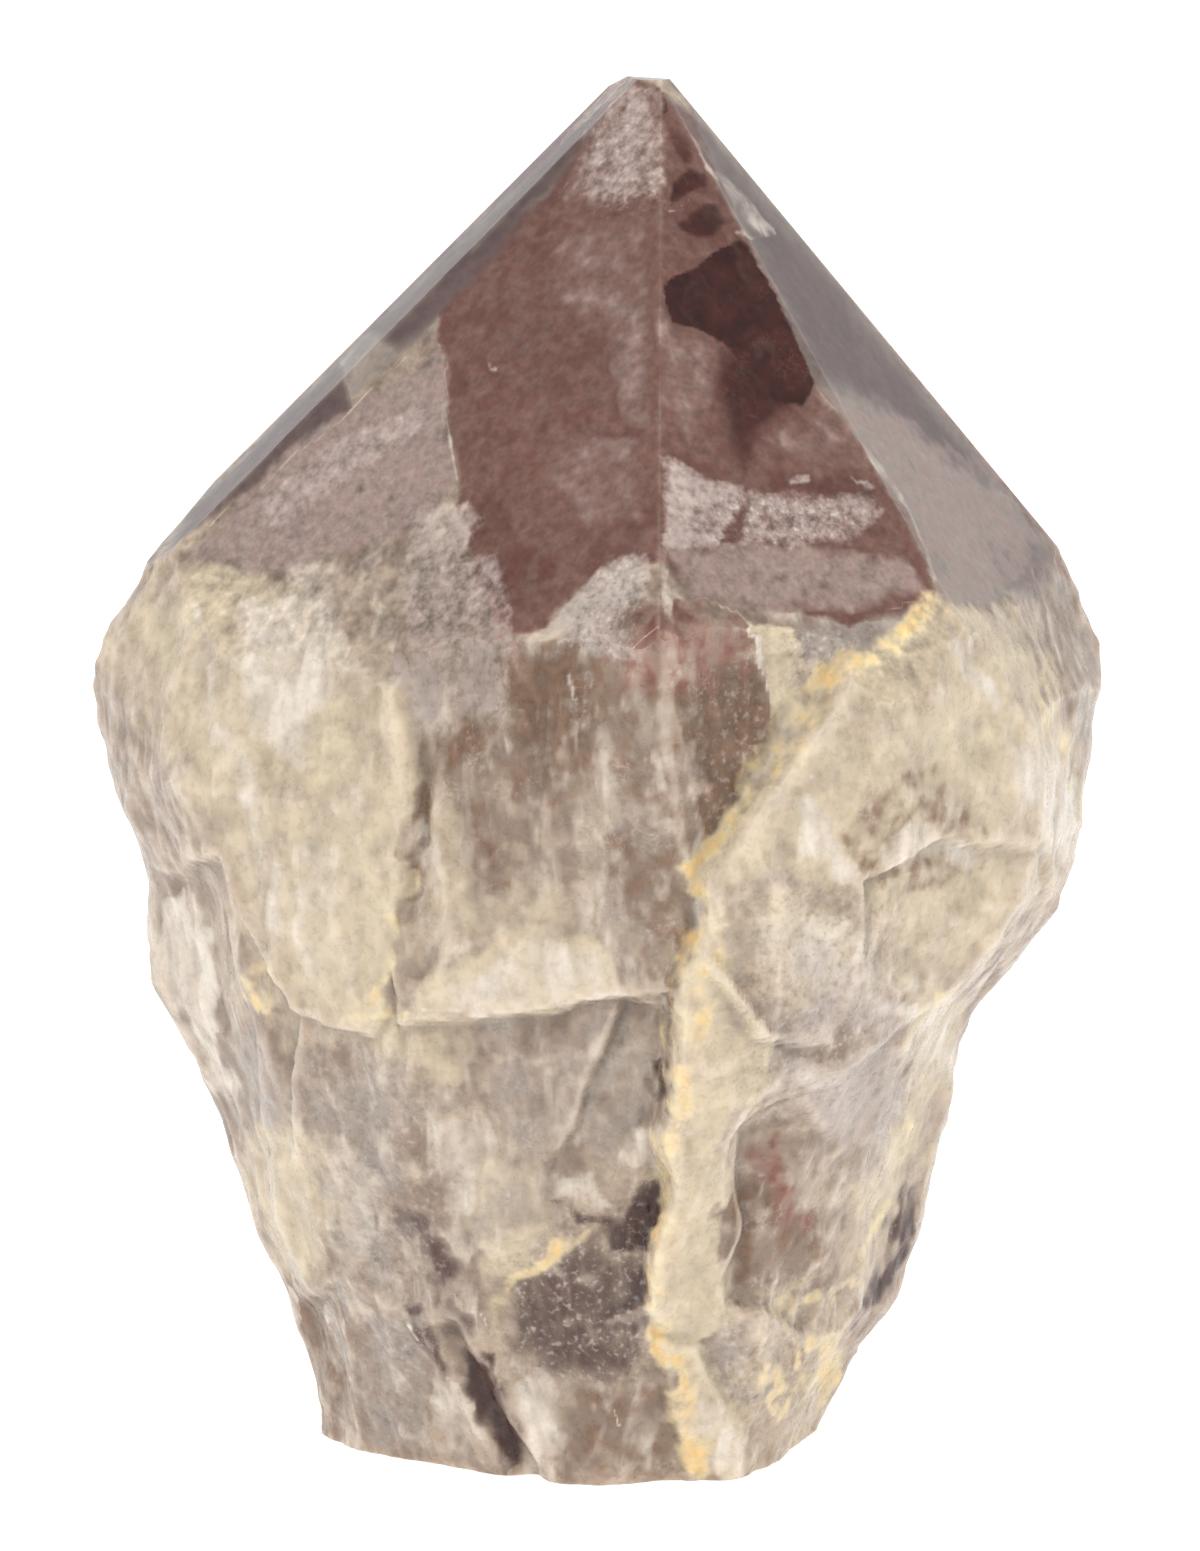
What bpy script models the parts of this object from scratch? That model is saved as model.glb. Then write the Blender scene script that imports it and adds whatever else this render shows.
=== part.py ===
"""Amethyst point: one broken-off crystal with a ground and polished six-sided tip.

The rough body is a tapering stone lofted between ridge lines. Its skin carries the blocks,
ledges and hollows of the break, and shallow shell-shaped scoops. Flat cuts then grind the six
tip faces, the blunt end of the tip and the flat foot that it stands on.
All working sizes are in millimetres, with +Z up and the best side facing -Y.
"""

import math

import bmesh
import bpy
import numpy as np
from mathutils import Vector, noise

MM = 0.001

# Overall shape
TIP_HEIGHT = 108.8
BLANK_TOP = 116.0
BLANK_FOOT = -2.0
SKIN_TOP = 77.0
AXIS_X = 2.0
FINE_SIDES = 280
FINE_RINGS = 140
KEPT_SHARE = 0.105
SHORTEST_EDGE = 0.05

# Ridge lines of the rough body, each as (height, x, y) from the foot up
LEFT_RIDGE = [
    (-2, -22, 0), (2, -22, 0), (9, -24.5, 0), (16, -27, 0), (24, -30, 0.5), (31, -33, 1),
    (36, -35, 1), (39, -35.5, 1), (45, -35.5, 0), (50, -37.5, 0), (55, -39.5, -1),
    (60, -40.5, -1.5), (65, -39.5, -2.5), (68, -37.5, -3), (73, -34, -3.5), (77, -32, -3.5),
]
LEFT_BLOCK_CREST = [
    (-2, -18.5, -5), (10, -19.5, -9.5), (20, -21, -13), (33, -25, -15), (44, -27.5, -16.5),
    (55, -30.5, -16), (62, -31, -14), (68, -31, -11.5), (77, -30, -9),
]
LEFT_BLOCK_EDGE = [
    (-2, -7.5, -13), (10, -9.5, -17), (20, -12, -20), (36, -16, -24), (44, -15.5, -25.5),
    (55, -15.5, -25.5), (62, -16, -24), (66, -16, -23), (77, -16, -21),
]
FRONT_RIDGE = [
    (-2, -0.5, -15.5), (10, 1.5, -19.5), (20, 3.5, -23.5), (30, 5, -26.5), (38, 6.5, -29),
    (50, 6.5, -32.5), (60, 5.5, -34), (70, 5, -34), (77, 5, -33),
]
FRONT_RIGHT_EDGE = [
    (-2, 10.5, -15), (10, 12.5, -17.5), (20, 14.5, -20), (30, 17, -22.5), (38, 19.5, -25.5),
    (50, 22.5, -27), (60, 23.5, -26), (70, 24.5, -24), (77, 24.5, -23.5),
]
RIGHT_LOBE_CREST = [
    (-2, 14.5, -8.5), (10, 18, -10), (20, 20.5, -11.5), (30, 23.5, -13), (38, 27, -14.5),
    (46, 32, -15), (56, 33.5, -14), (66, 33, -11.5), (77, 33, -10.5),
]
RIGHT_RIDGE = [
    (-2, 17, 1), (2, 18, 1), (6, 20, 1), (11, 23, 1), (16, 25, 1), (24, 27, 1.5), (31, 29.5, 2),
    (35, 31, 2), (40, 34.5, 2), (45, 37.5, 2), (50, 39.5, 2), (57, 40, 3), (62, 41, 3.5),
    (66, 39, 4), (72, 36.5, 4), (77, 36, 4.5),
]
BACK_RIGHT_EDGE = [
    (-2, 11, 11), (15, 14.5, 15.5), (30, 19, 20), (45, 26, 23.5), (60, 26.5, 22),
    (77, 23, 21.5),
]
BACK_RIDGE = [
    (-2, -2, 15), (15, -1, 21.5), (30, 1, 27), (45, 2, 31), (60, 3.5, 34), (77, 3.5, 35),
]
BACK_LEFT_EDGE = [
    (-2, -14.5, 10.5), (15, -18, 16), (30, -21, 20), (45, -24, 22.5), (60, -24.5, 20),
    (77, -20, 18.5),
]
RIDGES = [
    LEFT_RIDGE, LEFT_BLOCK_CREST, LEFT_BLOCK_EDGE, FRONT_RIDGE, FRONT_RIGHT_EDGE,
    RIGHT_LOBE_CREST, RIGHT_RIDGE, BACK_RIGHT_EDGE, BACK_RIDGE, BACK_LEFT_EDGE,
]

# Ground faces of the tip: direction faced, lean of the normal from upright, height on the tip line
TIP_X = 3.5
TIP_FACES = {
    "left sliver": (193, 45, 109.5),
    "broad front": (-124, 56.5, 111.5),
    "front right": (-59, 56, 114),
    "right": (-23, 55, 112.5),
    "back right": (48, 56.5, 109.5),
    "back left": (131, 59.5, 115.5),
}

# Raised and sunken areas as seen square on: height, direction in degrees in which the step fades
# out (0 towards +X, 90 up), and the outline as (x, z)
FRONT_AREAS = {
    "left block": (1.2, 150, [
        (-31, 68), (-14.5, 65), (-13.5, 54), (-15, 44), (-17.5, 37.5), (-24, 37), (-29, 49),
        (-35, 62),
    ]),
    "right lobe": (1.7, -30, [
        (27, 70), (19, 66.5), (15.5, 61), (12.5, 57), (8, 51), (7, 45.5), (10.5, 38), (22, 36),
        (31, 38), (43, 45), (45, 68),
    ]),
    "window in the core": (-0.7, 140, [
        (6, 68), (17, 68), (14.5, 61), (11, 56.5), (8, 52), (5.5, 57),
    ]),
    "shelf above the ledge": (0.8, 80, [
        (-13, 57), (-2, 55), (5, 52), (6.5, 46.5), (5, 41), (-3.5, 40), (-9.5, 39), (-15.5, 38.5),
    ]),
    "panel under the ledge": (-1.3, -100, [
        (-16, 38.5), (-9.5, 39), (-3.5, 40), (5, 41), (5, 31), (0.5, 25), (-8, 24), (-15, 30),
    ]),
    "plate": (1.8, -20, [
        (7, 45.5), (10.5, 40), (14, 35.5), (13.5, 32.5), (9.5, 29), (9.5, 21), (11, 13.5),
        (8, 11.5), (5.5, 12), (4, 15), (5, 20), (5.5, 28.5), (5.5, 41.5),
    ]),
    "foot of the plate": (0.9, -30, [(5, 11.5), (8, 12), (13, -2), (7, -2)]),
    "hollow beside the plate": (-1.9, 190, [
        (2, 40), (5.5, 39), (5.5, 28.5), (4.5, 20), (4, 15), (0.5, 14), (-6, 19), (-3.5, 27),
    ]),
    "patch right of the plate": (-1.2, 0, [
        (10.5, 29.5), (15, 32), (21, 25), (20, 16), (15, 12), (11, 15),
    ]),
    "shell under the lobe": (-1.3, -80, [
        (20, 50), (26, 52.5), (33, 50.5), (36, 42), (28, 37), (20, 37),
    ]),
    "left flank": (-1.3, -150, [
        (-35, 46), (-28.5, 49), (-23.5, 38), (-22.5, 26), (-27, 22), (-34, 31),
    ]),
    "lower left pad": (1.2, 120, [(-28, 27), (-22.5, 26.5), (-19.5, 15), (-25, 11)]),
}
BACK_AREAS = {
    "back block": (1.9, 40, [(7, 66), (26, 66), (27, 48), (14, 38), (5, 46)]),
    "back hollow": (-1.8, -60, [(-22, 62), (-5, 60), (-3, 45), (-13, 38), (-23, 46)]),
    "back slab": (1.7, 160, [(-20, 34), (-5, 37), (2, 25), (-3, 7), (-14, 10)]),
    "back notch": (-1.5, -20, [(3, 34), (16, 36), (15, 18), (4, 12)]),
}
AREA_EDGE = 1.5

# Cracks: depth, half width, and the line of the crack as (x, z)
FRONT_CRACKS = {
    "beside the left block": (0.5, 1.5, [(-13, 65), (-13, 56), (-14, 46), (-16.5, 39)]),
    "in the foot": (1.6, 1.9, [(-11.5, 13), (-9, 9), (-7.5, 4), (-5.5, -1)]),
    "along the seam": (0.4, 1.5, [(24, 69.5), (17, 65), (12, 57.5), (7, 50), (6, 42)]),
}
BACK_CRACKS = {
    "down the back": (1.4, 1.4, [(1, 62), (-1, 50), (1.5, 40), (2.5, 22), (0, 6)]),
    "across the back": (1.1, 1.2, [(-24, 37), (-12, 36.5), (0, 38.5)]),
}

# Flat breaks: direction faced, lean of the normal from upright, distance from the middle of the foot
BREAKS = {
    "right shoulder": (-20, 70, 55.5),
    "left flank": (-160, 100, 26.5),
    "lower left": (-142, 108, 18),
    "left of front": (-118, 96, 25.5),
    "lower right": (-50, 110, 17.5),
    "right of front": (-35, 92, 35),
    "right side": (20, 100, 27.5),
    "back right": (45, 108, 17.5),
    "back upper right": (70, 98, 24.5),
    "back": (95, 108, 16),
    "back upper left": (120, 96, 26),
    "back lower left": (140, 110, 16.5),
    "left side": (165, 100, 27),
}

# Rough texture: the size of each kind of unevenness across the skin, and its height
SCOOP_SIZE = 13.0
SCOOP_STRETCH = 1.5
SCOOP_DEPTH = 2.6
SCOOP_LEVEL = 0.15
LUMP_SIZE = 17.0
LUMP_HEIGHT = 0.8
LUMP_START = Vector((3.7, 1.2, 8.4))
GRAIN_SIZE = 5.0
GRAIN_HEIGHT = 0.35
GRAIN_START = Vector((11.3, 6.1, 2.9))
WANDER_SIZE = 6.5
WANDER = 1.5
WANDER_SEED = 4
CORNER_WEAR = math.radians(3.0)
SIDE_START = 1.0
SIDE_BLEND = 7.0

STONE_COLOUR = (0.48, 0.39, 0.31, 1.0)
STONE_ROUGHNESS = 0.3


def ease(value):
    """Nothing below 0, all above 1, and a soft slope between."""
    value = np.clip(value, 0.0, 1.0)
    return value * value * (3.0 - 2.0 * value)


def depth_inside(outline, x, z):
    """How far each point lies inside a closed outline, negative outside it."""
    nearest = np.full(np.shape(x), 1e9)
    inside = np.zeros(np.shape(x), bool)
    for (ax, az), (bx, bz) in zip(outline, outline[1:] + outline[:1]):
        run, rise = bx - ax, bz - az
        along = np.clip(((x - ax) * run + (z - az) * rise) / (run * run + rise * rise), 0, 1)
        nearest = np.minimum(nearest, np.hypot(x - ax - along * run, z - az - along * rise))
        crosses = (az > z) != (bz > z)
        inside ^= crosses & (x < ax + (z - az) * run / (rise or 1.0))
    return np.where(inside, nearest, -nearest)


def plan_radius(turn, height):
    """Distance from the axis to the lofted blank, at each turn (radians) and height."""
    points = []
    for ridge in RIDGES:
        levels, across, deep = zip(*ridge)
        points.append((np.interp(height, levels, across) - AXIS_X, np.interp(height, levels, deep)))
    ray_x, ray_y = np.cos(turn), np.sin(turn)
    radius = np.zeros(np.shape(turn))
    for (ax, ay), (bx, by) in zip(points, points[1:] + points[:1]):
        starts = ax * ray_y - ay * ray_x
        ends = bx * ray_y - by * ray_x
        hit = (starts >= 0) & (ends < 0) & (ax * by - ay * bx > 0)
        reach = (ax * by - ay * bx) / ((by - ay) * ray_x - (bx - ax) * ray_y + 1e-12)
        radius = np.where(hit & (reach > 0), reach, radius)
    return radius


def blank_radius(turn, height):
    """The lofted blank with its corners worn a little, as the mean of near directions."""
    steps = (-1, 0, 0, 1)
    return sum(plan_radius(turn + step * CORNER_WEAR, height) for step in steps) / len(steps)


def area_height(area, x, z):
    """Full height at the strong side of an area, fading out across it, with a steep edge."""
    height, direction, outline = area
    way_x, way_z = math.cos(math.radians(direction)), math.sin(math.radians(direction))
    ends = [px * way_x + pz * way_z for px, pz in outline]
    across = (x * way_x + z * way_z - min(ends)) / (max(ends) - min(ends))
    rise = ease(0.5 + depth_inside(outline, x, z) / AREA_EDGE)
    return height * rise * (1.0 - ease(across))


def crack_depth(crack, x, z):
    depth, half_width, line = crack
    return depth * (1.0 - ease(-depth_inside(line + line[-2:0:-1], x, z) / half_width))


def relief(x, y, z):
    """Height of the blocks, ledges, hollows and cracks at each point of the skin.

    The outlines wander a little, so that no edge runs straight.
    """
    wander = np.array([noise.noise_vector(Vector(p) / WANDER_SIZE) for p in zip(x, y, z)])
    x_here, z_here = x + WANDER * wander[:, 0], z + WANDER * wander[:, 2]
    total = np.zeros(np.shape(x))
    for side, areas, cracks in (
        (-1, FRONT_AREAS, FRONT_CRACKS),
        (1, BACK_AREAS, BACK_CRACKS),
    ):
        facing = ease((side * y - SIDE_START) / SIDE_BLEND)
        for area in areas.values():
            total += facing * area_height(area, x_here, z_here)
        for crack in cracks.values():
            total -= facing * crack_depth(crack, x_here, z_here)
    return total


def scoop(point):
    """Shell-shaped hollows that meet at sharp crests, stretched along the crystal."""
    place = Vector((point[0], point[1], point[2] / SCOOP_STRETCH)) / SCOOP_SIZE
    nearest = noise.voronoi(place, distance_metric="DISTANCE_SQUARED")[0][0]
    return SCOOP_DEPTH * (min(nearest, 1.0) - SCOOP_LEVEL)


def lump(point):
    """Broad swells and finer grain of the broken skin."""
    broad = noise.noise(Vector(point) / LUMP_SIZE + LUMP_START)
    fine = noise.noise(Vector(point) / GRAIN_SIZE + GRAIN_START)
    return LUMP_HEIGHT * broad + GRAIN_HEIGHT * fine


def skin_points(turn, height):
    """Points of the finished rough skin, one for each turn and height."""
    ray_x, ray_y = np.cos(turn), np.sin(turn)
    radius = blank_radius(turn, height)
    x, y = AXIS_X + radius * ray_x, radius * ray_y
    radius = radius + relief(x, y, height)
    radius = radius + np.array([scoop(p) + lump(p) for p in zip(x, y, height)])
    return np.stack([AXIS_X + radius * ray_x, radius * ray_y, height], axis=-1)


def rough_blank():
    """A cylinder with its wall pushed out to the rough skin."""
    mesh = bmesh.new()
    bmesh.ops.create_cone(
        mesh, cap_ends=True, segments=FINE_SIDES, radius1=1.0, radius2=1.0, depth=1.0
    )
    upright = [edge for edge in mesh.edges if edge.verts[0].co.z * edge.verts[1].co.z < 0]
    bmesh.ops.subdivide_edges(mesh, edges=upright, cuts=FINE_RINGS, use_grid_fill=True)
    turn = np.array([math.atan2(vert.co.y, vert.co.x) for vert in mesh.verts])
    ring = np.array([(vert.co.z + 0.5) * (FINE_RINGS + 1) for vert in mesh.verts])
    height = BLANK_FOOT + (SKIN_TOP - BLANK_FOOT) * ring / FINE_RINGS
    above_skin = height > SKIN_TOP + MM
    places = skin_points(turn, np.minimum(height, SKIN_TOP))
    places[above_skin, 2] = BLANK_TOP
    for vert, place in zip(mesh.verts, places):
        vert.co = place
    return mesh


def thinned(fine):
    """The same skin in larger facets: big ones where it is flat, small ones along its edges."""
    mesh = bpy.data.meshes.new("fine skin")
    fine.to_mesh(mesh)
    fine.free()
    stone = bpy.data.objects.new("fine skin", mesh)
    bpy.context.scene.collection.objects.link(stone)
    thinner = stone.modifiers.new("thin", "DECIMATE")
    thinner.ratio = KEPT_SHARE
    kept = bmesh.new()
    kept.from_object(stone, bpy.context.evaluated_depsgraph_get())
    bpy.data.objects.remove(stone, do_unlink=True)
    return kept


def grind(mesh, point, normal):
    """Removes all that stands beyond a plane and closes the cut with a flat face."""
    everything = list(mesh.verts) + list(mesh.edges) + list(mesh.faces)
    cut = bmesh.ops.bisect_plane(
        mesh, geom=everything, dist=1e-4, plane_co=point, plane_no=normal, clear_outer=True
    )
    rim = [item for item in cut["geom_cut"] if isinstance(item, bmesh.types.BMEdge)]
    bmesh.ops.holes_fill(mesh, edges=rim, sides=0)


def drop_flakes(mesh):
    """Keeps the stone itself, which holds the lowest point, and drops loose flakes of the cuts."""
    waiting = [min(mesh.verts, key=lambda vert: tuple(vert.co)[::-1])]
    stone = set(waiting)
    while waiting:
        vert = waiting.pop()
        for edge in vert.link_edges:
            other = edge.other_vert(vert)
            if other not in stone:
                stone.add(other)
                waiting.append(other)
    flakes = [vert for vert in mesh.verts if vert not in stone]
    bmesh.ops.delete(mesh, geom=flakes, context="VERTS")


def outward(facing, lean):
    """A normal that faces a way round the axis (degrees) and leans from upright."""
    facing, lean = math.radians(facing), math.radians(lean)
    return Vector((
        math.cos(facing) * math.sin(lean), math.sin(facing) * math.sin(lean), math.cos(lean)
    ))


def split_off_breaks(mesh):
    for facing, lean, distance in BREAKS.values():
        normal = outward(facing, lean)
        grind(mesh, normal * distance, normal)


def grind_tip(mesh):
    for facing, lean, height in TIP_FACES.values():
        grind(mesh, Vector((TIP_X, 0.0, height)), outward(facing, lean))
    grind(mesh, Vector((0, 0, TIP_HEIGHT)), Vector((0, 0, 1)))


def stone_material():
    material = bpy.data.materials.new("amethyst")
    material.use_nodes = True
    shader = material.node_tree.nodes["Principled BSDF"]
    shader.inputs["Base Color"].default_value = STONE_COLOUR
    shader.inputs["Roughness"].default_value = STONE_ROUGHNESS
    shader.inputs["Metallic"].default_value = 0.0
    material.diffuse_color = STONE_COLOUR
    return material


def crystal():
    bm = thinned(rough_blank())
    split_off_breaks(bm)
    grind_tip(bm)
    grind(bm, Vector((0, 0, 0)), Vector((0, 0, -1)))
    drop_flakes(bm)
    bmesh.ops.dissolve_degenerate(bm, dist=SHORTEST_EDGE, edges=bm.edges[:])
    bmesh.ops.triangulate(bm, faces=bm.faces[:])
    bmesh.ops.recalc_face_normals(bm, faces=bm.faces[:])
    # The origin is at the middle of the foot level, under the middle of the stone's box.
    corners = np.array([v.co for v in bm.verts])
    middle = (corners.min(axis=0) + corners.max(axis=0)) / 2
    bmesh.ops.translate(bm, verts=bm.verts[:], vec=Vector((-middle[0], -middle[1], 0)))
    bmesh.ops.scale(bm, verts=bm.verts[:], vec=Vector((MM, MM, MM)))
    mesh = bpy.data.meshes.new("crystal")
    bm.to_mesh(mesh)
    bm.free()
    mesh.materials.append(stone_material())
    return bpy.data.objects.new("crystal", mesh)


for old in list(bpy.data.objects):
    bpy.data.objects.remove(old, do_unlink=True)

noise.seed_set(WANDER_SEED)
collection = bpy.data.collections.new("Amethyst point")
bpy.context.scene.collection.children.link(collection)
collection.objects.link(crystal())
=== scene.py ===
"""Amethyst point: the finished look of the crystal, its stage, lights and camera.

The crystal is made again on a finer mesh than its plain solid, from the same ridge lines, areas,
breaks and ground faces, and then gets the finest relief. Colour zones, veils, cracks and stains
are named outlines on the best side, carried onto the stone as soft masks, and the other sides
get zones of the same kinds from seeded noise. Working sizes are in millimetres.
"""

import math
from functools import partial

import bmesh
import bpy
import numpy as np
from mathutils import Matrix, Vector, geometry, noise


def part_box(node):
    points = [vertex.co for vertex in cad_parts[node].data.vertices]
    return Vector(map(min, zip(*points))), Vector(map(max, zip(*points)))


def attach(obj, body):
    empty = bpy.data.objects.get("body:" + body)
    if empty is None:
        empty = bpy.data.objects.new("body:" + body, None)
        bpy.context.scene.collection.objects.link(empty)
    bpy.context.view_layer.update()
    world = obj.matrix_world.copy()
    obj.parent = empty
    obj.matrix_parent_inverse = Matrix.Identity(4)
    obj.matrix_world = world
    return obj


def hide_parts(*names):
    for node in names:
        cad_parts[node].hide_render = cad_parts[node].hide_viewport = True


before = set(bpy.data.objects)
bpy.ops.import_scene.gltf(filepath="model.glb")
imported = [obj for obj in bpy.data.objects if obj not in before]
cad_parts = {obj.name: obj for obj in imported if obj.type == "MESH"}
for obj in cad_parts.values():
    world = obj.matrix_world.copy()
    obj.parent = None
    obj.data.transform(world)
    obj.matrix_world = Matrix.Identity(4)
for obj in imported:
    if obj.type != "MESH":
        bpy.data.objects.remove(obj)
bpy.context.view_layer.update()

MM = 0.001

# Overall shape, as in the solid
TIP_HEIGHT = 108.8
BLANK_TOP = 116.0
BLANK_FOOT = -2.0
SKIN_TOP = 77.0
AXIS_X = 2.0

# Ridge lines of the rough body: the height, x and y of each point from the foot up
RIDGES = {
    "left ridge": (-2,-22,0, 2,-22,0, 9,-24.5,0, 16,-27,0, 24,-30,0.5, 31,-33,1, 36,-35,1, 39,-35.5,1,
        45,-35.5,0, 50,-37.5,0, 55,-39.5,-1, 60,-40.5,-1.5, 65,-39.5,-2.5, 68,-37.5,-3, 73,-34,-3.5,
        77,-32,-3.5),
    "left block crest": (-2,-18.5,-5, 10,-19.5,-9.5, 20,-21,-13, 33,-25,-15, 44,-27.5,-16.5, 55,-30.5,-16,
        62,-31,-14, 68,-31,-11.5, 77,-30,-9),
    "left block edge": (-2,-7.5,-13, 10,-9.5,-17, 20,-12,-20, 36,-16,-24, 44,-15.5,-25.5, 55,-15.5,-25.5,
        62,-16,-24, 66,-16,-23, 77,-16,-21),
    "front ridge": (-2,-0.5,-15.5, 10,1.5,-19.5, 20,3.5,-23.5, 30,5,-26.5, 38,6.5,-29, 50,6.5,-32.5,
        60,5.5,-34, 70,5,-34, 77,5,-33),
    "front right edge": (-2,10.5,-15, 10,12.5,-17.5, 20,14.5,-20, 30,17,-22.5, 38,19.5,-25.5, 50,22.5,-27,
        60,23.5,-26, 70,24.5,-24, 77,24.5,-23.5),
    "right lobe crest": (-2,14.5,-8.5, 10,18,-10, 20,20.5,-11.5, 30,23.5,-13, 38,27,-14.5, 46,32,-15,
        56,33.5,-14, 66,33,-11.5, 77,33,-10.5),
    "right ridge": (-2,17,1, 2,18,1, 6,20,1, 11,23,1, 16,25,1, 24,27,1.5, 31,29.5,2, 35,31,2, 40,34.5,2,
        45,37.5,2, 50,39.5,2, 57,40,3, 62,41,3.5, 66,39,4, 72,36.5,4, 77,36,4.5),
    "back right edge": (-2,11,11, 15,14.5,15.5, 30,19,20, 45,26,23.5, 60,26.5,22, 77,23,21.5),
    "back ridge": (-2,-2,15, 15,-1,21.5, 30,1,27, 45,2,31, 60,3.5,34, 77,3.5,35),
    "back left edge": (-2,-14.5,10.5, 15,-18,16, 30,-21,20, 45,-24,22.5, 60,-24.5,20, 77,-20,18.5),
}

# Ground faces of the tip: direction faced, lean of the normal from upright, height on the tip line
TIP_X = 3.5
TIP_FACES = {
    "left sliver": (193, 45, 109.5),
    "broad front": (-124, 56.5, 111.5),
    "front right": (-59, 56, 114),
    "right": (-23, 55, 112.5),
    "back right": (48, 56.5, 109.5),
    "back left": (131, 59.5, 115.5),
}

# Raised and sunken areas as seen square on: height, direction in degrees in which the step fades
# out (0 towards +X, 90 up), and the x and z of each corner of the outline
FRONT_AREAS = {
    "left block": (1.2, 150, -31,68, -14.5,65, -13.5,54, -15,44, -17.5,37.5, -24,37, -29,49, -35,62),
    "right lobe": (1.7, -30, 27,70, 19,66.5, 15.5,61, 12.5,57, 8,51, 7,45.5, 10.5,38, 22,36, 31,38, 43,45,
        45,68),
    "window in core": (-0.7, 140, 6,68, 17,68, 14.5,61, 11,56.5, 8,52, 5.5,57),
    "shelf above ledge": (0.8, 80, -13,57, -2,55, 5,52, 6.5,46.5, 5,41, -3.5,40, -9.5,39, -15.5,38.5),
    "panel under ledge": (-1.3, -100, -16,38.5, -9.5,39, -3.5,40, 5,41, 5,31, 0.5,25, -8,24, -15,30),
    "plate": (1.8, -20, 7,45.5, 10.5,40, 14,35.5, 13.5,32.5, 9.5,29, 9.5,21, 11,13.5, 8,11.5, 5.5,12, 4,15,
        5,20, 5.5,28.5, 5.5,41.5),
    "plate foot": (0.9, -30, 5,11.5, 8,12, 13,-2, 7,-2),
    "hollow by plate": (-1.9, 190, 2,40, 5.5,39, 5.5,28.5, 4.5,20, 4,15, 0.5,14, -6,19, -3.5,27),
    "patch right of plate": (-1.2, 0, 10.5,29.5, 15,32, 21,25, 20,16, 15,12, 11,15),
    "shell under lobe": (-1.3, -80, 20,50, 26,52.5, 33,50.5, 36,42, 28,37, 20,37),
    "left flank": (-1.3, -150, -35,46, -28.5,49, -23.5,38, -22.5,26, -27,22, -34,31),
    "lower left pad": (1.2, 120, -28,27, -22.5,26.5, -19.5,15, -25,11),
}
BACK_AREAS = {
    "back block": (1.9, 40, 7,66, 26,66, 27,48, 14,38, 5,46),
    "back hollow": (-1.8, -60, -22,62, -5,60, -3,45, -13,38, -23,46),
    "back slab": (1.7, 160, -20,34, -5,37, 2,25, -3,7, -14,10),
    "back notch": (-1.5, -20, 3,34, 16,36, 15,18, 4,12),
}
AREA_EDGE = 1.0

# Cracks: depth, half width, and the x and z of each point of the line
FRONT_CRACKS = {
    "by left block": (0.5, 1.5, -13,65, -13,56, -14,46, -16.5,39),
    "in foot": (1.6, 1.9, -11.5,13, -9,9, -7.5,4, -5.5,-1),
    "along seam": (0.4, 1.5, 24,69.5, 17,65, 12,57.5, 7,50, 6,42),
}
BACK_CRACKS = {
    "down back": (1.4, 1.4, 1,62, -1,50, 1.5,40, 2.5,22, 0,6),
    "across back": (1.1, 1.2, -24,37, -12,36.5, 0,38.5),
}

# Flat breaks: direction faced, lean of the normal from upright, distance from the middle of the foot
BREAKS = {
    "right shoulder": (-20, 70, 55.5),
    "left flank": (-160, 100, 26.5),
    "lower left": (-142, 108, 18),
    "left of front": (-118, 96, 25.5),
    "lower right": (-50, 110, 17.5),
    "right of front": (-35, 92, 35),
    "right side": (20, 100, 27.5),
    "back right": (45, 108, 17.5),
    "back upper right": (70, 98, 24.5),
    "back": (95, 108, 16),
    "back upper left": (120, 96, 26),
    "back lower left": (140, 110, 16.5),
    "left side": (165, 100, 27),
}

# Rough texture of the solid
SCOOPS = {"size": 13.0, "stretch": 1.5, "depth": 2.6, "level": 0.15, "start": (0, 0, 0)}
LUMPS = {"size": 17.0, "height": 0.8, "start": (3.7, 1.2, 8.4)}
GRAINS = {"size": 5.0, "height": 0.35, "start": (11.3, 6.1, 2.9)}
WANDER_SIZE = 6.5
WANDER = 1.5
WANDER_SEED = 4
CORNER_WEAR = math.radians(3.0)
SIDE_START = 1.0
SIDE_BLEND = 7.0

# Finest relief, on the rough skin of this mesh alone
COLUMNS = 440
RINGS = 186
FRONT_CROWDING = 0.3
CHIPS = {"size": 4.2, "stretch": 1.3, "depth": 0.55, "level": 0.25, "start": (5.1, 2.3, 7.7)}
CRUMBS = {"size": 1.6, "height": 0.16, "start": (1.9, 9.4, 3.3)}
STREAK_HEIGHT = 0.22
STREAK_ACROSS = 1.1
STREAK_ALONG = 11.0
# Lean of the growth lines left and right of the middle
STREAK_LEAN = (0.25, 0.45)
# Crests near and far: reach in cells, height of a full crest, weight
CRESTS = ((2, 0.12, 0.6), (7, 0.5, 0.4))
EDGE_ROUND = 0.22
LEAST_EDGE = 0.1
CELL_IN_FRONT = 0.5
CELL_BEHIND = 1.4
ROW_STEP = 0.87
RIM_GAP = 0.4
LEVEL = 0.99
FLAT_ANGLE = math.radians(8.0)
SHARP_ANGLE = math.radians(65.0)

# The photograph that the zones are read from, and where it was taken from
PHOTO_HEIGHT = 1551
PHOTO_MIDDLE = (596.5, 775.5)
PIXELS_PER_MM = 12.61
CAMERA_RISE = math.radians(9.0)
CAMERA_DISTANCE = 650.0
CAMERA_BACK = (0.0, -math.cos(CAMERA_RISE), math.sin(CAMERA_RISE))
CAMERA_TARGET = Vector((0.0, 0.0, 53.5))
PICTURE_SHIFT = 3.5
SENSOR_HEIGHT = 24.0

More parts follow.
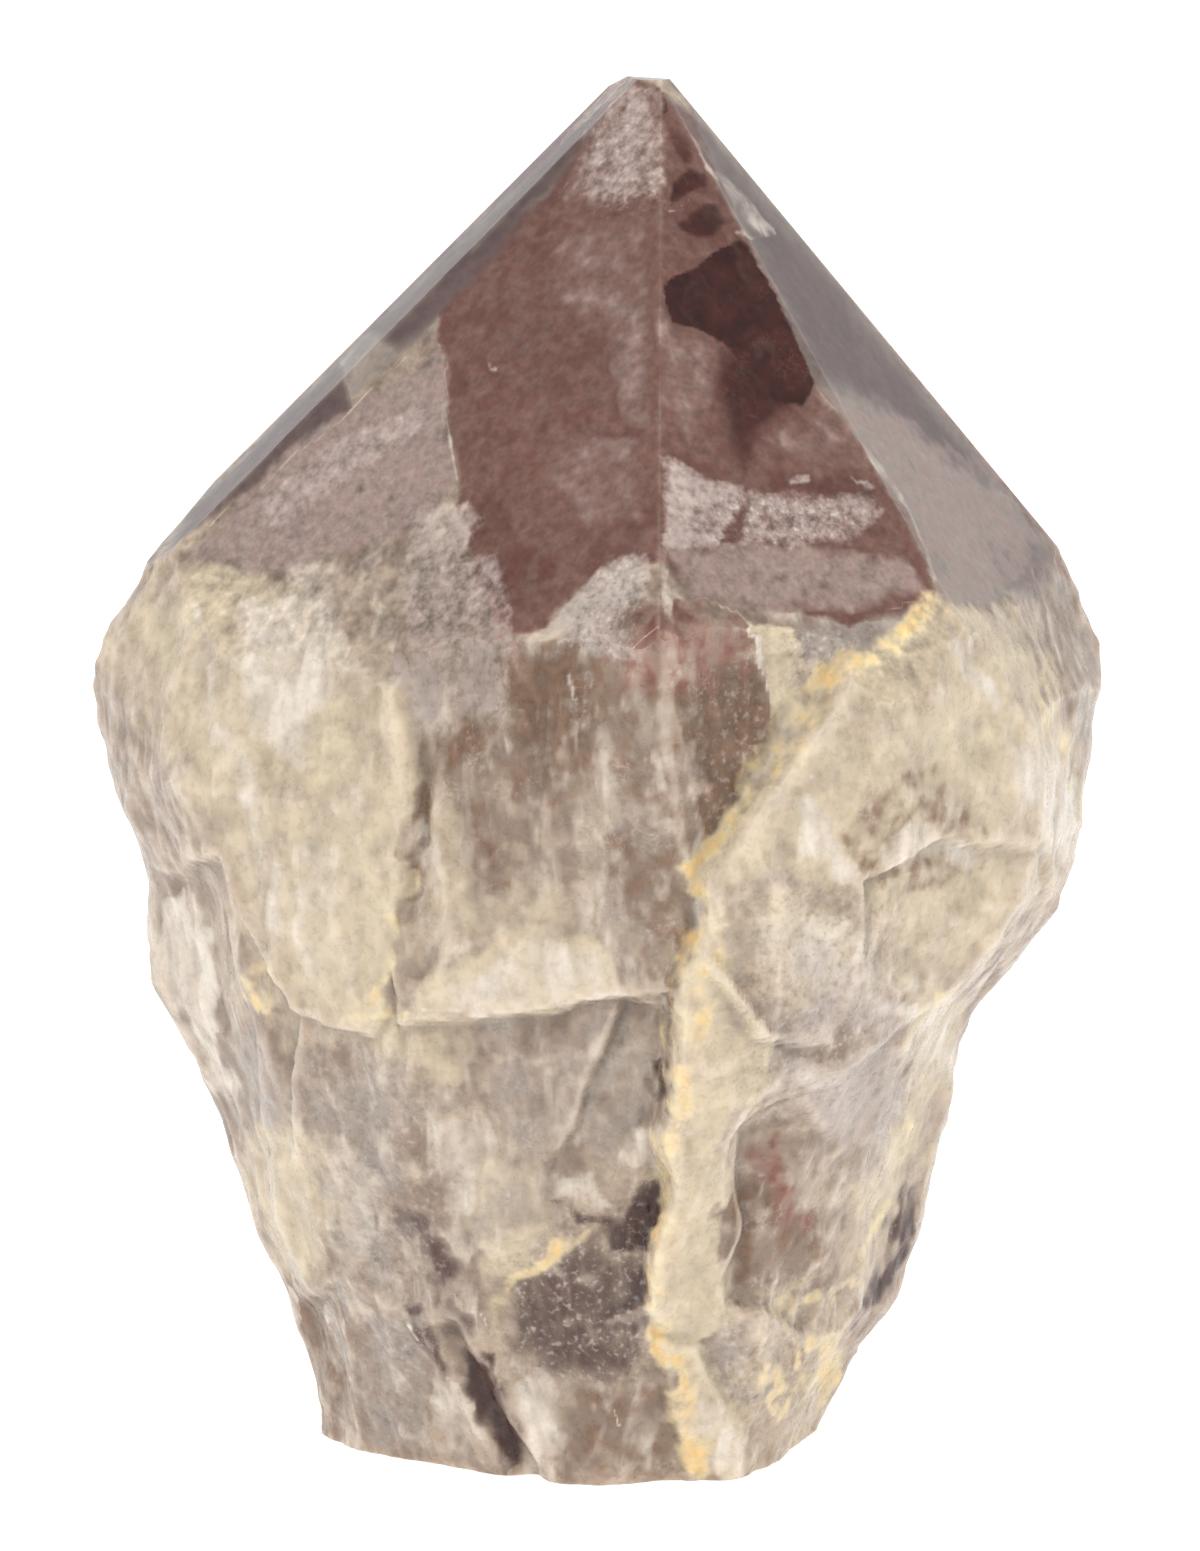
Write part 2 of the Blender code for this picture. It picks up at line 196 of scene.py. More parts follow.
# Colour zones of the best side: strength, softness in mm, and the photograph pixels of each corner
ZONES = {}
ZONES["grey"] = {
    # The grey on the right ground face is partly the face's own grey and partly a painted sheen of the light
    # it reflects.
    "right ground face": (1, 0.4, 690,100, 840,280, 1062,545, 1062,592, 943,606, 909,521, 820,385, 745,235,
        700,165),
    "left sliver": (0.7, 0.4, 600,97, 300,398, 165,533, 165,552, 275,466, 448,314, 557,203, 600,125),
    "right shoulder": (0.4, 0.8, 1036,575, 1065,575, 1110,640, 1106,720, 1088,775, 1076,720, 1052,640),
    "left rim": (0.45, 1.2, 85,640, 108,640, 130,780, 165,900, 148,930, 112,800),
    "above seam": (0.85, 0.6, 785,626, 860,618, 922,600, 900,640, 850,668, 800,665),
    "middle column": (0.25, 1.2, 600,690, 662,640, 690,750, 694,860, 650,1000, 600,990),
    "left flank": (0.75, 1, 229,1037, 281,1050, 278,1138, 240,1120),
    "panel under ledge": (0.45, 1.5, 470,1016, 627,1006, 650,1100, 640,1140, 560,1165, 480,1130),
    "lower left": (0.6, 2, 300,1060, 400,1055, 430,1110, 400,1190, 413,1300, 350,1290, 300,1150),
    "left foot": (0.65, 1.2, 345,1337, 407,1310, 430,1440, 370,1440),
    "lower middle": (0.5, 1.5, 440,1150, 560,1160, 560,1240, 480,1290, 450,1240),
    "right middle": (0.55, 1.8, 776,1000, 905,1010, 905,1130, 850,1180, 776,1090),
    "below plate": (0.75, 0.7, 708,1345, 760,1310, 765,1400, 730,1430),
}
ZONES["cream"] = {
    "left block": (0.75, 2, 120,600, 190,565, 300,590, 400,700, 412,850, 398,960, 375,1030, 300,1040, 240,900,
        165,740, 105,660),
    "left block right rim": (0.9, 0.9, 385,650, 415,720, 414,840, 396,960, 372,1020, 350,1000, 370,850),
    "right lobe": (0.8, 1, 935,602, 1010,615, 1070,720, 1088,800, 1060,880, 985,960, 900,985, 850,900,
        780,860, 700,900, 710,850, 770,765, 823,690, 860,660),
    "low in right lobe": (0.55, 2, 700,880, 850,890, 900,985, 800,1010, 740,1000),
    "wedge above seam": (1, 0.15, 749,626, 781,627, 803,660, 795,715, 784,724, 760,663),
    "plate": (1, 0.3, 690,940, 723,960, 753,1016, 775,1053, 766,1099, 736,1109, 723,1146, 727,1172, 721,1225,
        730,1281, 739,1319, 699,1347, 674,1344, 650,1312, 648,1262, 660,1220, 668,1170, 680,1106, 683,1056,
        672,1000),
    "plate foot": (0.9, 0.5, 674,1350, 710,1350, 735,1410, 748,1478, 692,1480),
    "shelf": (0.9, 0.5, 400,1020, 440,965, 500,928, 540,935, 594,926, 621,1000, 555,1009, 470,1014),
    "above shelf": (0.5, 1.6, 415,780, 455,800, 480,880, 560,880, 590,925, 420,960),
    "lower left pad": (0.8, 0.8, 255,1122, 325,1130, 330,1268, 285,1275, 246,1190),
    "below left block": (0.8, 1.2, 364,1018, 455,1014, 455,1075, 400,1070, 370,1050),
    "right strip": (0.85, 0.8, 915,993, 968,970, 966,1040, 935,1110, 915,1180, 880,1240, 849,1278, 850,1210,
        890,1130, 912,1080),
    "right foot": (0.45, 1.2, 740,1290, 850,1285, 845,1380, 800,1460, 743,1470, 735,1420),
    "lower middle": (0.6, 1.5, 470,1140, 530,1160, 560,1235, 500,1290, 478,1240),
}
ZONES["brown"] = {
    "right foot": (0.5, 1.2, 780,1340, 810,1350, 800,1390, 776,1380),
    "in lobe": (0.4, 1.8, 850,790, 940,765, 1000,800, 990,880, 900,905, 848,880),
    "right of plate": (0.8, 0.8, 730,1170, 770,1165, 815,1215, 830,1262, 790,1255, 755,1215, 760,1270,
        735,1272, 722,1225),
    "foot": (0.5, 1.5, 564,1384, 680,1384, 690,1485, 550,1480),
    "middle band": (0.5, 1.5, 606,640, 668,640, 684,760, 690,900, 655,960, 612,900),
    "left of core": (0.55, 1.2, 440,690, 500,690, 520,830, 470,850, 436,790),
    "core under ground face": (0.95, 1.2, 496,640, 590,650, 605,720, 585,790, 540,800, 500,760),
    "blob in core": (0.9, 0.7, 450,718, 470,712, 482,750, 474,784, 452,776),
    "second blob in core": (0.75, 0.6, 480,836, 500,832, 504,884, 484,888),
    "window": (1, 0.6, 672,690, 700,655, 755,655, 784,730, 765,775, 715,840, 693,866, 688,790),
    "middle foot": (0.6, 1.2, 655,810, 692,830, 690,920, 672,1000, 640,940),
    "web of cracks": (0.75, 1.2, 405,560, 470,545, 500,620, 490,700, 430,700),
    "by left block": (0.7, 0.6, 416,720, 432,780, 422,850, 404,940, 398,900),
    "in right lobe": (0.4, 0.9, 850,800, 880,815, 884,880, 860,900, 846,850),
    "left foot": (0.65, 1, 290,1275, 332,1270, 350,1400, 365,1430, 325,1430, 300,1350),
}
ZONES["mauve"] = {
    "tip core": (1, 0.7, 640,75, 690,110, 745,235, 820,385, 905,510, 943,604, 850,622, 700,600, 655,560,
        600,570, 548,625, 500,640, 470,560, 456,480, 436,312, 490,250, 545,200, 597,108),
    "under veil": (0.6, 1.2, 590,600, 700,600, 755,625, 752,680, 690,690, 620,700),
    "blot right of plate": (0.6, 0.8, 742,1136, 776,1140, 806,1196, 822,1244, 788,1236, 756,1180),
}
ZONES["slate"] = {
    "right face top": (1, 1.6, 700,130, 775,215, 925,395, 1010,490, 960,470, 870,400, 818,376, 745,235),
    "lens in right face": (0.6, 0.9, 985,545, 1030,530, 1062,560, 1062,590, 1000,592),
    "low on left sliver": (0.95, 0.6, 340,360, 352,408, 250,486, 172,548, 190,510),
    "left sliver": (1, 1, 600,100, 480,225, 370,330, 400,350, 520,230, 598,130),
}
ZONES["dark"] = {
    "patch under tip": (1, 0.3, 662,283, 703,259, 740,237, 752,250, 795,330, 816,378, 803,406, 760,400,
        730,350, 700,333, 672,322),
    "patch foot": (0.8, 1.6, 716,345, 790,350, 808,400, 780,425, 758,445, 750,482, 738,482, 722,440, 712,390),
    "under blunt end": (1, 0.25, 648,84, 662,88, 673,112, 662,116),
    "first blot": (0.65, 0.6, 667,122, 680,125, 696,152, 690,168, 674,160),
    "second blot": (0.85, 0.5, 667,180, 690,168, 708,172, 713,187, 690,196, 668,208),
    "third blot": (0.85, 0.6, 677,222, 700,206, 720,204, 733,226, 712,240, 694,238, 682,234),
    "lens rim": (0.55, 0.5, 755,468, 800,478, 850,470, 880,486, 870,502, 760,490),
    "broad face foot": (0.5, 1.2, 462,500, 500,480, 530,540, 560,560, 548,600, 510,625, 478,600),
    "broad face middle": (0.28, 2, 456,380, 520,400, 560,470, 640,460, 652,540, 560,540, 470,470),
}
ZONES["purple"] = {
    # The dark purple in the hollow left of the plate, at its top and by the curl is partly the stone's own
    # purple and partly painted shade in that recess.
    "hollow top": (1, 0.35, 646,1056, 672,1056, 674,1091, 667,1122, 655,1106),
    "hollow": (1, 0.35, 561,1203, 589,1210, 627,1214, 640,1180, 667,1162, 664,1203, 650,1244, 636,1253,
        617,1247, 599,1225, 571,1222),
    "by curl": (0.8, 0.5, 615,1262, 640,1265, 645,1295, 620,1300),
    "grainy patch": (0.75, 0.9, 510,1285, 545,1262, 600,1240, 640,1256, 650,1330, 630,1380, 550,1375,
        508,1340),
    "pit in foot": (1, 0.35, 468,1348, 496,1345, 503,1385, 516,1453, 504,1466, 474,1429, 457,1396),
    "upper streak": (0.85, 0.5, 399,1204, 419,1208, 455,1260, 468,1294, 455,1294, 425,1266, 405,1227),
    "middle streak": (0.8, 0.4, 407,1306, 425,1303, 440,1334, 454,1383, 440,1388, 419,1352),
    "right streak": (0.6, 0.5, 440,1290, 460,1290, 468,1340, 452,1350),
    "right sliver": (1, 0.3, 916,1185, 905,1245, 890,1285, 862,1330, 849,1331, 866,1288, 882,1245, 886,1225),
}
ZONES["haze"] = {
    "broad face corner": (1, 1, 275,466, 440,345, 456,480, 430,520, 360,545, 290,570, 190,560),
    "cloud in tip": (0.6, 1.6, 590,130, 628,84, 655,86, 664,130, 662,190, 610,208, 565,200),
    "by dark patch": (0.5, 1.6, 655,290, 672,326, 705,342, 716,356, 708,410, 690,445, 664,400),
    "broad face top": (0.35, 2.2, 560,230, 650,205, 654,300, 600,340, 545,300),
    "right of broad face": (0.5, 1.2, 600,300, 650,280, 652,430, 622,420),
    "broad face middle": (0.4, 1.8, 560,430, 640,440, 640,520, 590,530, 540,480),
    "under band": (1, 1, 664,545, 800,543, 900,560, 925,590, 860,606, 760,612, 690,595),
    "above band": (0.35, 1.2, 760,440, 830,400, 880,470, 800,470),
    "fan in right face": (0.75, 1.5, 818,388, 880,402, 960,460, 1040,540, 1000,590, 945,604, 905,510,
        860,440),
}
ZONES["pale"] = {
    "right face shoulder": (0.5, 0.8, 715,170, 735,180, 775,232, 740,235),
    "on left block": (0.8, 1.2, 240,600, 330,590, 345,650, 300,760, 262,740, 232,660),
    "left block crest": (0.75, 0.6, 185,600, 200,610, 232,720, 262,830, 285,930, 270,920, 238,800, 210,700),
    "low on left block": (0.5, 1, 290,840, 345,850, 360,960, 310,980, 286,900),
    "left flake": (0.9, 0.5, 158,905, 186,885, 205,960, 228,1100, 205,1080, 165,985),
    "crease in lobe": (0.9, 0.5, 949,622, 971,640, 1006,712, 990,712, 960,670),
    "right of lobe": (0.95, 0.8, 1004,735, 1030,740, 1078,780, 1080,830, 1062,856, 1030,810),
    "plate in lobe": (0.75, 0.6, 790,800, 812,797, 856,870, 840,880, 800,840),
    "arc in lobe": (0.6, 0.7, 883,850, 930,826, 985,850, 1000,880, 975,868, 930,848, 895,870),
    "below lobe": (0.55, 1.2, 746,925, 812,910, 880,960, 920,985, 830,1000, 760,960),
    "strokes under lobe": (0.8, 0.4, 833,988, 880,996, 925,1008, 922,1018, 860,1010),
    "right strip": (0.6, 0.8, 925,1010, 955,1000, 950,1060, 925,1070),
    "over mauve patch": (0.6, 0.8, 776,1062, 820,1060, 850,1085, 800,1085, 770,1110),
    "shelf": (0.7, 0.8, 440,985, 520,950, 590,940, 612,995, 520,1006, 450,1010),
    "plate foot": (0.7, 0.7, 700,1400, 728,1410, 740,1478, 700,1480),
    "on plate": (0.2, 0.9, 690,1110, 720,1160, 716,1230, 690,1300, 672,1250, 676,1180),
    "below panel": (0.7, 0.7, 443,1132, 478,1128, 482,1200, 462,1220, 440,1180),
    "lower left": (0.6, 0.9, 330,1165, 372,1170, 380,1250, 350,1265, 330,1220),
    "by pit": (0.75, 0.6, 511,1378, 548,1375, 560,1462, 525,1465),
    "wedge left of pit": (0.75, 0.5, 424,1383, 452,1395, 478,1440, 440,1425),
    "above hollow": (0.6, 0.6, 552,1175, 600,1178, 610,1200, 570,1200),
    "by hollow": (0.7, 0.5, 622,1120, 655,1125, 664,1150, 630,1160),
}
ZONES["veil"] = {
    "cloud in tip": (0.45, 1.6, 596,120, 628,84, 650,86, 663,130, 662,192, 610,205, 572,195),
    "band, left": (0.75, 0.6, 664,456, 700,476, 722,484, 738,484, 744,500, 712,545, 664,546),
    "band, right": (0.6, 0.8, 744,490, 830,496, 870,490, 885,510, 850,540, 740,545),
    "broad face foot": (0.65, 0.7, 555,622, 600,572, 645,552, 650,575, 622,620, 640,650, 600,655),
    "broad face, left": (0.5, 0.8, 410,512, 470,500, 485,520, 450,562, 410,560),
    "corner edge": (0.35, 1, 250,500, 330,440, 420,400, 440,420, 350,480, 270,530),
    "web of cracks": (0.45, 1, 400,560, 500,550, 515,640, 500,720, 420,720),
    "by web": (0.6, 0.8, 400,650, 440,660, 450,720, 410,740),
    "under lobe": (0.5, 1, 800,950, 880,960, 900,1030, 800,1040),
    "right middle": (0.45, 1.2, 790,1060, 890,1080, 880,1150, 800,1130),
}
ZONES["speck"] = {
    "band across front right face": (1, 0.4, 712,500, 745,495, 850,497, 860,530, 780,548, 715,545),
    "cloud in tip": (0.7, 1, 580,100, 650,90, 665,210, 600,215),
    "grainy patch": (0.6, 1.2, 500,1250, 640,1180, 655,1380, 520,1390),
    "window": (0.4, 1, 690,680, 780,700, 750,800, 700,850),
    "above seam": (0.8, 0.9, 775,640, 890,615, 850,662, 790,690),
    "lower left": (0.4, 2, 300,1040, 430,1040, 460,1200, 420,1440, 320,1430, 300,1150),
    "right middle": (0.5, 2, 740,880, 900,880, 900,1000, 850,1120, 740,1100),
    "right foot": (0.6, 1.2, 720,1280, 850,1270, 830,1420, 730,1440),
    "broad face foot": (0.7, 0.8, 600,560, 650,560, 640,650, 560,660),
}
ZONES["stain"] = {
    "below left flank": (0.6, 0.8, 250,955, 268,960, 275,1010, 255,1005),
    "left block foot": (0.55, 1, 355,1000, 385,1000, 380,1030, 352,1028),
    "right foot": (0.8, 0.8, 813,1345, 839,1335, 835,1395, 812,1400),
    "second on right foot": (0.8, 0.7, 762,1360, 785,1380, 782,1412, 764,1400),
    "right lobe edge": (0.35, 1.2, 1035,650, 1060,700, 1086,790, 1070,790, 1040,720),
    "by seam": (0.32, 1.2, 784,754, 800,690, 823,672, 830,700, 810,760),
    "by plate": (0.7, 0.6, 685,1000, 711,1000, 705,1030, 690,1060),
    "right strip": (0.55, 0.5, 930,985, 948,985, 946,1005, 932,1005),
}

# Lines of the best side: strength, half width in mm, and the photograph pixels of each point
LINES = {}
LINES["stain"] = {
    "seam": (0.95, 1.3, 935,604, 888,647, 828,672, 798,712, 770,760, 729,828, 696,866, 700,915, 690,940),
    "along plate": (1, 1.7, 700,940, 686,1000, 680,1060, 672,1110, 668,1150),
    "low along plate": (0.85, 1.1, 664,1160, 664,1220, 652,1270, 654,1310),
    "plate foot": (0.95, 1.2, 660,1335, 680,1360, 686,1420, 698,1475),
    "gap by left block": (0.75, 0.8, 406,870, 396,930, 382,980, 368,1010, 400,1022),
    "curl": (0.7, 0.8, 499,1310, 504,1288, 533,1266, 560,1248, 600,1230),
    "right foot": (0.7, 0.7, 770,1308, 809,1297, 852,1276),
    "down right foot": (0.6, 0.6, 785,1310, 800,1370, 782,1420),
    "right strip": (0.4, 0.9, 912,1130, 890,1200, 862,1250),
}
LINES["pale"] = {
    "broad face edge": (0.55, 0.2, 605,112, 557,203, 448,314, 346,416, 198,534),
    "panel edge in broad face": (0.8, 0.22, 440,345, 448,400, 456,480),
    "wedge left edge": (0.9, 0.25, 750,627, 760,663, 784,724),
    "front edge, below": (0.5, 0.8, 663,550, 666,620, 681,750, 694,794, 696,850),
    "right face edge": (0.6, 0.3, 668,100, 700,150, 745,235),
    "right face lower edge": (0.6, 0.35, 818,385, 905,505, 943,604),
    "fold in right face": (0.6, 0.3, 736,234, 774,237),
    "above second blot": (0.7, 0.2, 667,213, 698,198, 713,190),
    "front right face foot": (0.4, 0.3, 690,592, 750,622, 795,625, 855,619, 921,600),
    "ledge": (0.9, 0.3, 395,1018, 480,1012, 555,1008, 627,1002, 672,995),
    "shelf edge": (0.7, 0.25, 594,926, 610,965, 621,1002),
    "shelf left edge": (0.5, 0.3, 500,926, 440,965, 400,1015),
    "left block": (0.7, 0.35, 295,650, 288,700, 282,740),
    "left foot": (0.8, 0.25, 333,1275, 351,1383, 364,1422),
    "left foot edge": (0.6, 0.3, 285,1290, 310,1370, 322,1410),
    "by middle streak": (0.9, 0.25, 410,1324, 434,1373, 474,1424),
    "by right streak": (0.9, 0.3, 462,1294, 490,1330),
    "foot": (0.7, 0.25, 614,1403, 633,1437),
}
LINES["veil"] = {
    "dash": (1, 0.28, 788,482, 808,479),
    "second dash": (1, 0.28, 850,477, 872,484),
    "dash right of plate": (1, 0.4, 732,1149, 762,1166),
    "bright spot": (1, 0.3, 500,640, 510,638),
    "fleck in core": (1, 0.35, 563,675, 576,694),
    "fleck by left block": (1, 0.4, 404,896, 411,892),
    "fleck in broad face": (1, 0.3, 490,365, 497,369),
    "fibres in web": (0.8, 0.25, 400,545, 430,600, 470,640, 500,640),
    "more fibres in web": (0.8, 0.25, 480,560, 462,620, 440,670),
    "line in tip": (0.7, 0.3, 650,110, 636,150, 640,190),
}
LINES["purple"] = {
    # Painted shade: a dark line in the gap beside the left block.
    "gap by left block": (0.4, 0.35, 412,830, 404,880, 400,930),
}
LINES["dark"] = {
    "front right face foot": (0.4, 0.35, 760,617, 850,614, 925,594),
}
ZONE_WANDERS = ((4.5, 1.3), (1.6, 0.8))
WANDER_ON_POLISH = 0.3
ROUGH_SPREAD = 2.0
CRISP_KINDS = ("dark", "stain", "speck")
POLISH_BLUR = 9
LINE_FADE = 5.0
ZONE_SEED = 3
OUTSIDE = 0.8
FRONT_ENDS = 0.25
FRONT_BLEND = 0.3
# Sizes of the noises that lay out the zones of the other sides
HIDDEN_SIZES = {
    "tip": 16.0, "cream": 12.0, "grey": 14.0, "dark": 8.0, "brown": 9.0, "veil": 6.0, "pale": 7.0,
    "seam": 11.0,
}

# Colours of the body, and what each kind of zone lays over it: colour, second colour, which mottling
# breaks it up and how strongly, how soft it ends, how clear it is
BODY_COLOURS = ((0.33, 0.245, 0.19, 1), (0.49, 0.385, 0.295, 1), (0.78, 0.68, 0.57, 1))
BODY_CLEAR = 0.3
SKIN_CLEAR = 0.15
SKIN_SHADE = 0.87
MOTTLES = {"broad": (4.0, 2.0, 0.5), "middle": (1.7, 2.0, 0.5), "fine": (0.75, 2.0, 0.6)}
LAYERS = {
    "grey": ((0.48, 0.41, 0.36, 1), (0.36, 0.30, 0.26, 1), "broad", 2.2, 0.5, 0.4),
    "cream": ((0.70, 0.59, 0.43, 1), (0.60, 0.50, 0.365, 1), "broad", -1.5, 0.5, 0.2),
    "brown": ((0.165, 0.095, 0.056, 1), (0.26, 0.16, 0.105, 1), "middle", 2.4, 0.5, 0.4),
    "mauve": ((0.47, 0.25, 0.196, 1), (0.245, 0.10, 0.074, 1), "middle", 1.5, 0.4, 0.6),
    "slate": ((0.20, 0.135, 0.13, 1), (0.145, 0.095, 0.09, 1), "broad", -1.0, 0.5, 0.4),
    "dark": ((0.036, 0.005, 0.004, 1), (0.07, 0.016, 0.011, 1), "broad", 0.5, 0.4, 0.15),
    "purple": ((0.055, 0.024, 0.022, 1), (0.14, 0.078, 0.064, 1), "wisp", 1.8, 0.5, 0.3),
    "haze": ((0.57, 0.435, 0.385, 1), (0.43, 0.31, 0.27, 1), "middle", 2.0, 0.6, 0.4),
    "pale": ((0.82, 0.74, 0.64, 1), (0.64, 0.55, 0.46, 1), "wisp", -1.8, 0.5, 0.2),
    "veil": ((0.68, 0.60, 0.555, 1), (0.47, 0.385, 0.345, 1), "lace", 2.2, 0.7, 0.15),
}
STAIN_CLEAR = 0.1
ABSORBED = (0.66, 0.44, 0.42, 1)
DENSITY = 12.0
STAIN_HALO = (0.80, 0.665, 0.42, 1)
STAIN_CORE = (0.82, 0.59, 0.28, 1)
WHITE_CRUMB = (0.84, 0.77, 0.71, 1)
WORN = (0.62, 0.52, 0.46, 1)
DARK_CRUMB = (0.10, 0.07, 0.06, 1)
GROWTH_LEAN = 0.35
ROUGH_SKIN = (0.22, 0.42)
ROUGH_POLISH = (0.05, 0.11)
QUARTZ_IOR = 1.544
BUMP_DEPTH = 0.0005
QUARTZ = bpy.data.materials.new("clouded amethyst")
LIT = Vector((0.0, 0.0, 0.055))


def ease(value):
    """Nothing below 0, all above 1, and a soft slope between."""
    value = np.clip(value, 0.0, 1.0)
    return value * value * (3.0 - 2.0 * value)


def pairs(numbers):
    """The points of an outline or line, from their numbers in a row."""
    return list(zip(numbers[::2], numbers[1::2]))


def distance_to_line(line, x, z):
    """How far each point lies from a line of straight runs."""
    nearest = np.full(np.shape(x), 1e9)
    for (ax, az), (bx, bz) in zip(line, line[1:]):
        run, rise = bx - ax, bz - az
        along = np.clip(((x - ax) * run + (z - az) * rise) / (run * run + rise * rise), 0, 1)
        nearest = np.minimum(nearest, np.hypot(x - ax - along * run, z - az - along * rise))
    return nearest


def depth_inside(outline, x, z):
    """How far each point lies inside a closed outline, negative outside it."""
    inside = np.zeros(np.shape(x), bool)
    for (ax, az), (bx, bz) in zip(outline, outline[1:] + outline[:1]):
        crosses = (az > z) != (bz > z)
        inside ^= crosses & (x < ax + (z - az) * (bx - ax) / ((bz - az) or 1.0))
    nearest = distance_to_line(outline + outline[:1], x, z)
    return np.where(inside, nearest, -nearest)


def drift(points, size):
    """Smooth noise of a size that carries each point aside and up."""
    return np.array([noise.noise_vector(Vector(p) / size) for p in points])[:, ::2].T


def plan_radius(turn, height):
    """Distance from the axis to the lofted blank, at each turn (radians) and height."""
    points = []
    for ridge in RIDGES.values():
        across, deep = (np.interp(height, ridge[::3], ridge[part::3]) for part in (1, 2))
        points.append((across - AXIS_X, deep))
    ray_x, ray_y = np.cos(turn), np.sin(turn)
    radius = np.zeros(np.shape(turn))
    for (ax, ay), (bx, by) in zip(points, points[1:] + points[:1]):
        turned = ax * by - ay * bx
        hit = (ax * ray_y - ay * ray_x >= 0) & (bx * ray_y - by * ray_x < 0) & (turned > 0)
        reach = turned / ((by - ay) * ray_x - (bx - ax) * ray_y + 1e-12)
        radius = np.where(hit & (reach > 0), reach, radius)
    return radius


def blank_radius(turn, height):
    """The lofted blank with its corners worn a little, as the mean of near directions."""
    steps = (-1, 0, 0, 1)
    return sum(plan_radius(turn + step * CORNER_WEAR, height) for step in steps) / len(steps)


def area_height(area, x, z):
    """Full height at the strong side of an area, fading out across it, with a steep edge."""
    height, direction, *outline = area
    outline = pairs(outline)
    way_x, way_z = math.cos(math.radians(direction)), math.sin(math.radians(direction))
    ends = [px * way_x + pz * way_z for px, pz in outline]
    across = (x * way_x + z * way_z - min(ends)) / (max(ends) - min(ends))
    rise = ease(0.5 + depth_inside(outline, x, z) / AREA_EDGE)
    return height * rise * (1.0 - ease(across))


def crack_depth(crack, x, z):
    depth, half_width, *line = crack
    return depth * (1.0 - ease(distance_to_line(pairs(line), x, z) / half_width))


def relief(x, y, z):
    """Height of the blocks, ledges, hollows and cracks at each point of the skin."""
    aside, up = drift(zip(x, y, z), WANDER_SIZE)
    here = x + WANDER * aside, z + WANDER * up
    total = np.zeros(np.shape(x))
    for side, areas, cracks in ((-1, FRONT_AREAS, FRONT_CRACKS), (1, BACK_AREAS, BACK_CRACKS)):
        facing = ease((side * y - SIDE_START) / SIDE_BLEND)
        for area in areas.values():
            total += facing * area_height(area, *here)
        for crack in cracks.values():
            total -= facing * crack_depth(crack, *here)
    return total


def shells(point, size, stretch, depth, level, start):
    """Shell-shaped hollows that meet at sharp crests, stretched along the crystal."""
    place = Vector((point[0], point[1], point[2] / stretch)) / size + Vector(start)
    nearest = noise.voronoi(place, distance_metric="DISTANCE_SQUARED")[0][0]
    return depth * (min(nearest, 1.0) - level)


def swell(point, size, height, start):
    """Smooth unevenness of one size."""
    return height * noise.noise(Vector(point) / size + Vector(start))


def coarse_relief(point):
    """The scoops, broad swells and grain of the broken skin, as in the solid."""
    return shells(point, **SCOOPS) + (swell(point, **LUMPS) + swell(point, **GRAINS))


def fine_relief(point):
    """Small chips, crumbs and the growth lines that run along the crystal."""
    across = (point[0] + STREAK_LEAN[bool(point[0] > 0)] * point[2]) / STREAK_ACROSS
    streak_place = Vector((across, point[1] / STREAK_ACROSS, point[2] / STREAK_ALONG))
    streak = STREAK_HEIGHT * abs(noise.noise(streak_place))
    return shells(point, **CHIPS) + swell(point, **CRUMBS) - streak


def break_radius(turn, height):
    """Distance from the axis to the nearest flat break, at each turn and height."""
    radius = np.full(np.shape(turn), 1e3)
    for facing, lean, distance in BREAKS.values():
        normal = outward(facing, lean)
        towards = np.cos(turn) * normal.x + np.sin(turn) * normal.y
        room = distance - AXIS_X * normal.x - height * normal.z
        meets = towards > 1e-3
        radius = np.where(meets, np.minimum(radius, room / np.where(meets, towards, 1.0)), radius)
    return radius


def skin_points(turn, height):
    """Points of the finished rough skin, one for each turn and height."""
    ray_x, ray_y = np.cos(turn), np.sin(turn)
    radius = blank_radius(turn, height)
    x, y = AXIS_X + radius * ray_x, radius * ray_y
    radius = radius + relief(x, y, height)
    radius = radius + np.array([coarse_relief(p) for p in zip(x, y, height)])
    radius = np.minimum(radius, break_radius(turn, height))
    radius = radius + np.array([fine_relief(p) for p in zip(x, y, height)])
    return np.stack([AXIS_X + radius * ray_x, radius * ray_y, height], axis=-1)


def blurred(field, reach):
    """The mean of a field over a square window, wrapped sideways and held at its ends."""
    steps = range(2 * reach + 1)
    padded = np.pad(field, ((reach, reach), (0, 0)), mode="edge")
    field = sum(padded[step:step + len(field)] for step in steps) / len(steps)
    return sum(np.roll(field, step - reach, axis=1) for step in steps) / len(steps)


def crest_marks(places):
    """How far each point of the skin stands out from (or in from) the skin round it, -1 to 1. The material
    paints highlight on the crests and shade in the hollows from it.
    """
    radius = np.hypot(places[:, 0] - AXIS_X, places[:, 1]).reshape(RINGS + 1, COLUMNS)
    marks = sum(
        weight * ((radius - blurred(radius, reach)) / full) for reach, full, weight in CRESTS
    )
    return np.clip(marks, -1, 1).ravel()


